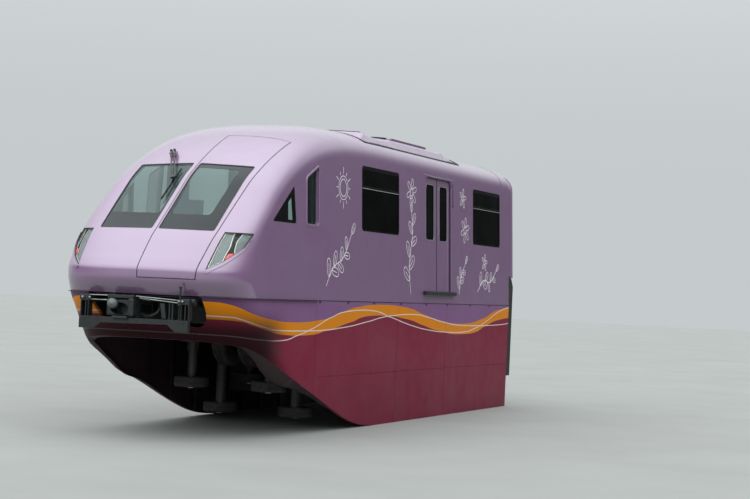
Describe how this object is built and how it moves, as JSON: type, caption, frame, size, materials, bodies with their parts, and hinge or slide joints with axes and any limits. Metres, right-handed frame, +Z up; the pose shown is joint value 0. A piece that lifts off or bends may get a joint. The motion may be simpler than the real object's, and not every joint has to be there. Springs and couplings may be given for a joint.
{
  "type": "straddle-beam monorail leading car",
  "caption": "Leading car of a straddle-beam monorail train with a sloping nose, sliding doors and wrap-around skirts.",
  "frame": {"origin": "on top of the running beam, on its centre line, in the middle of the car body's length", "axes": "+Y towards the rear end with the gangway, the nose at -Y; +Z up; +X towards the car's left side"},
  "size_m": [2.7578, 12.072, 4.481],
  "materials": {
    "lilac_paint": "gloss",
    "purple_paint": "gloss",
    "maroon_paint": "gloss",
    "screen_glass": "polished",
    "dark_glass": "polished",
    "lamp_glass": "polished",
    "slate_steel": "matte",
    "frame_steel": "satin",
    "rail_steel": "brushed",
    "rubber": "matte",
    "tyre": "matte",
    "floor_grey": "matte",
    "lining": "matte",
    "seat_fabric": "woven"
  },
  "bodies": {
    "car": {"nose_cowl": "lilac_paint", "roof_shell": "lilac_paint", "aircon_pod": "lilac_paint", "side_wall_left": "purple_paint", "side_wall_right": "purple_paint", "rear_end_wall": "purple_paint", "nose_chin": "maroon_paint", "skirt_left": "maroon_paint", "skirt_right": "maroon_paint", "gangway_hood": "rubber", "windscreen": "screen_glass", "headlamp_left": "lamp_glass", "headlamp_right": "lamp_glass", "cab_glass_left": "dark_glass", "cab_glass_right": "dark_glass", "underframe": "floor_grey", "coupler": "slate_steel", "coupler_guard": "slate_steel", "cab_bulkhead": "lining", "driver_desk": "slate_steel", "driver_seat": "seat_fabric", "handrails": "rail_steel", "saloon_window_left_front": "dark_glass", "bench_left_front": "seat_fabric", "saloon_window_left_rear": "dark_glass", "bench_left_rear": "seat_fabric", "saloon_window_right_front": "dark_glass", "bench_right_front": "seat_fabric", "saloon_window_right_rear": "dark_glass", "bench_right_rear": "seat_fabric"},
    "hatch": {"escape_hatch": "lilac_paint", "hatch_glass": "screen_glass"},
    "wiper": {"wiper_arms": "rubber"},
    "wiper_blade": {"wiper_blade": "rubber"},
    "door_left_front": {"door_leaf_left_front": "purple_paint", "door_glass_left_front": "dark_glass"},
    "door_left_rear": {"door_leaf_left_rear": "purple_paint", "door_glass_left_rear": "dark_glass"},
    "door_right_front": {"door_leaf_right_front": "purple_paint", "door_glass_right_front": "dark_glass"},
    "door_right_rear": {"door_leaf_right_rear": "purple_paint", "door_glass_right_rear": "dark_glass"},
    "front_bogie": {"front_bogie_frame": "frame_steel"},
    "front_axle_1": {"front_axle_1": "tyre"},
    "front_axle_2": {"front_axle_2": "tyre"},
    "front_guide_wheel_left_1": {"front_guide_wheel_left_1": "tyre"},
    "front_guide_wheel_left_2": {"front_guide_wheel_left_2": "tyre"},
    "front_stabiliser_wheel_left": {"front_stabiliser_wheel_left": "tyre"},
    "front_guide_wheel_right_1": {"front_guide_wheel_right_1": "tyre"},
    "front_guide_wheel_right_2": {"front_guide_wheel_right_2": "tyre"},
    "front_stabiliser_wheel_right": {"front_stabiliser_wheel_right": "tyre"},
    "rear_bogie": {"rear_bogie_frame": "frame_steel"},
    "rear_axle_1": {"rear_axle_1": "tyre"},
    "rear_axle_2": {"rear_axle_2": "tyre"},
    "rear_guide_wheel_left_1": {"rear_guide_wheel_left_1": "tyre"},
    "rear_guide_wheel_left_2": {"rear_guide_wheel_left_2": "tyre"},
    "rear_stabiliser_wheel_left": {"rear_stabiliser_wheel_left": "tyre"},
    "rear_guide_wheel_right_1": {"rear_guide_wheel_right_1": "tyre"},
    "rear_guide_wheel_right_2": {"rear_guide_wheel_right_2": "tyre"},
    "rear_stabiliser_wheel_right": {"rear_stabiliser_wheel_right": "tyre"}
  },
  "joints": [
    {"name": "door_left_front_slide", "type": "slide", "parent": "car", "child": "door_left_front", "axis": [0, -1, 0], "range_m": [0, 0.62]},
    {"name": "door_left_rear_slide", "type": "slide", "parent": "car", "child": "door_left_rear", "axis": [0, 1, 0], "range_m": [0, 0.62]},
    {"name": "door_right_front_slide", "type": "slide", "parent": "car", "child": "door_right_front", "axis": [0, -1, 0], "range_m": [0, 0.62]},
    {"name": "door_right_rear_slide", "type": "slide", "parent": "car", "child": "door_right_rear", "axis": [0, 1, 0], "range_m": [0, 0.62]},
    {"name": "hatch_hinge", "type": "hinge", "parent": "car", "child": "hatch", "pos_m": [0.48, -3.3918, 3.238], "axis": [-1, 0, 0], "range_deg": [0, 70]},
    {"name": "wiper_hinge", "type": "hinge", "parent": "car", "child": "wiper", "pos_m": [-0.46, -4.075, 2.897], "axis": [0, -0.5736, 0.8192], "range_deg": [-50, 0]},
    {"name": "wiper_blade_hinge", "type": "hinge", "parent": "wiper", "child": "wiper_blade", "pos_m": [-0.14483, -4.6415, 2.50033], "axis": [0, -0.5736, 0.8192], "range_deg": [0, 50]},
    {"name": "front_bogie_yaw", "type": "hinge", "parent": "car", "child": "front_bogie", "pos_m": [0, -2, 0.5], "axis": [0, 0, 1], "range_deg": [-5, 5]},
    {"name": "front_axle_1_spin", "type": "hinge", "parent": "front_bogie", "child": "front_axle_1", "pos_m": [0, -2.62, 0.42], "axis": [1, 0, 0], "continuous": true},
    {"name": "front_axle_2_spin", "type": "hinge", "parent": "front_bogie", "child": "front_axle_2", "pos_m": [0, -1.38, 0.42], "axis": [1, 0, 0], "continuous": true},
    {"name": "front_guide_wheel_left_1_spin", "type": "hinge", "parent": "front_bogie", "child": "front_guide_wheel_left_1", "pos_m": [0.607, -2.96, -0.24], "axis": [0, 0, 1], "continuous": true},
    {"name": "front_guide_wheel_left_2_spin", "type": "hinge", "parent": "front_bogie", "child": "front_guide_wheel_left_2", "pos_m": [0.607, -1.04, -0.24], "axis": [0, 0, 1], "continuous": true},
    {"name": "front_stabiliser_wheel_left_spin", "type": "hinge", "parent": "front_bogie", "child": "front_stabiliser_wheel_left", "pos_m": [0.607, -2, -0.64], "axis": [0, 0, 1], "continuous": true},
    {"name": "front_guide_wheel_right_1_spin", "type": "hinge", "parent": "front_bogie", "child": "front_guide_wheel_right_1", "pos_m": [-0.607, -2.96, -0.24], "axis": [0, 0, 1], "continuous": true},
    {"name": "front_guide_wheel_right_2_spin", "type": "hinge", "parent": "front_bogie", "child": "front_guide_wheel_right_2", "pos_m": [-0.607, -1.04, -0.24], "axis": [0, 0, 1], "continuous": true},
    {"name": "front_stabiliser_wheel_right_spin", "type": "hinge", "parent": "front_bogie", "child": "front_stabiliser_wheel_right", "pos_m": [-0.607, -2, -0.64], "axis": [0, 0, 1], "continuous": true},
    {"name": "rear_bogie_yaw", "type": "hinge", "parent": "car", "child": "rear_bogie", "pos_m": [0, 3.95, 0.5], "axis": [0, 0, 1], "range_deg": [-5, 5]},
    {"name": "rear_axle_1_spin", "type": "hinge", "parent": "rear_bogie", "child": "rear_axle_1", "pos_m": [0, 3.33, 0.42], "axis": [1, 0, 0], "continuous": true},
    {"name": "rear_axle_2_spin", "type": "hinge", "parent": "rear_bogie", "child": "rear_axle_2", "pos_m": [0, 4.57, 0.42], "axis": [1, 0, 0], "continuous": true},
    {"name": "rear_guide_wheel_left_1_spin", "type": "hinge", "parent": "rear_bogie", "child": "rear_guide_wheel_left_1", "pos_m": [0.607, 2.99, -0.24], "axis": [0, 0, 1], "continuous": true},
    {"name": "rear_guide_wheel_left_2_spin", "type": "hinge", "parent": "rear_bogie", "child": "rear_guide_wheel_left_2", "pos_m": [0.607, 4.91, -0.24], "axis": [0, 0, 1], "continuous": true},
    {"name": "rear_stabiliser_wheel_left_spin", "type": "hinge", "parent": "rear_bogie", "child": "rear_stabiliser_wheel_left", "pos_m": [0.607, 3.95, -0.64], "axis": [0, 0, 1], "continuous": true},
    {"name": "rear_guide_wheel_right_1_spin", "type": "hinge", "parent": "rear_bogie", "child": "rear_guide_wheel_right_1", "pos_m": [-0.607, 2.99, -0.24], "axis": [0, 0, 1], "continuous": true},
    {"name": "rear_guide_wheel_right_2_spin", "type": "hinge", "parent": "rear_bogie", "child": "rear_guide_wheel_right_2", "pos_m": [-0.607, 4.91, -0.24], "axis": [0, 0, 1], "continuous": true},
    {"name": "rear_stabiliser_wheel_right_spin", "type": "hinge", "parent": "rear_bogie", "child": "rear_stabiliser_wheel_right", "pos_m": [-0.607, 3.95, -0.64], "axis": [0, 0, 1], "continuous": true}
  ],
  "couplings": [
    {"joint": "door_left_front_slide", "follows": "door_left_rear_slide", "ratio": 1},
    {"joint": "door_right_front_slide", "follows": "door_right_rear_slide", "ratio": 1},
    {"joint": "wiper_blade_hinge", "follows": "wiper_hinge", "ratio": -1}
  ]
}
